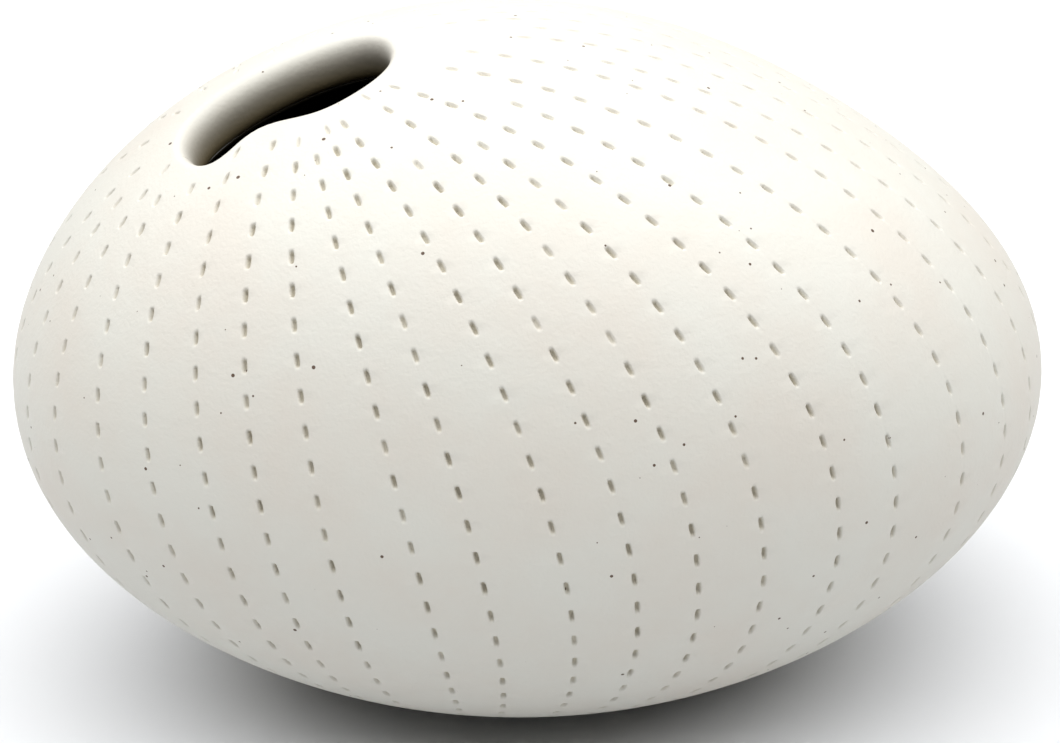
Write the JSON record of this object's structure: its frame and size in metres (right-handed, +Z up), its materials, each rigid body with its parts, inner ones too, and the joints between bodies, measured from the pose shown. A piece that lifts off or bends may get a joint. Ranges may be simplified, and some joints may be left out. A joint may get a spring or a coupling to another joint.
{
  "type": "flower frog",
  "caption": "Closed hollow porcelain pebble with an off-centre slot in its dome that holds flower stems, dashed rows on its skin and a flat foot.",
  "frame": {"origin": "centre of the flat foot, on the surface the pebble stands on", "axes": "+Z up; +X along the pebble's long axis, away from the slot's end; the slot lies on the -X side of the dome"},
  "size_m": [0.1, 0.0834, 0.0646],
  "materials": {
    "matt_porcelain": "matt unglazed porcelain, warm white, fine grain",
    "joining_slip": "fired porcelain slip, matt",
    "liner_glaze": "thin clear glaze over warm porcelain"
  },
  "bodies": {
    "root": {"upper_shell": "matt_porcelain", "lower_shell": "matt_porcelain", "slip_joint": "joining_slip", "glaze_lining": "liner_glaze"}
  },
  "joints": []
}
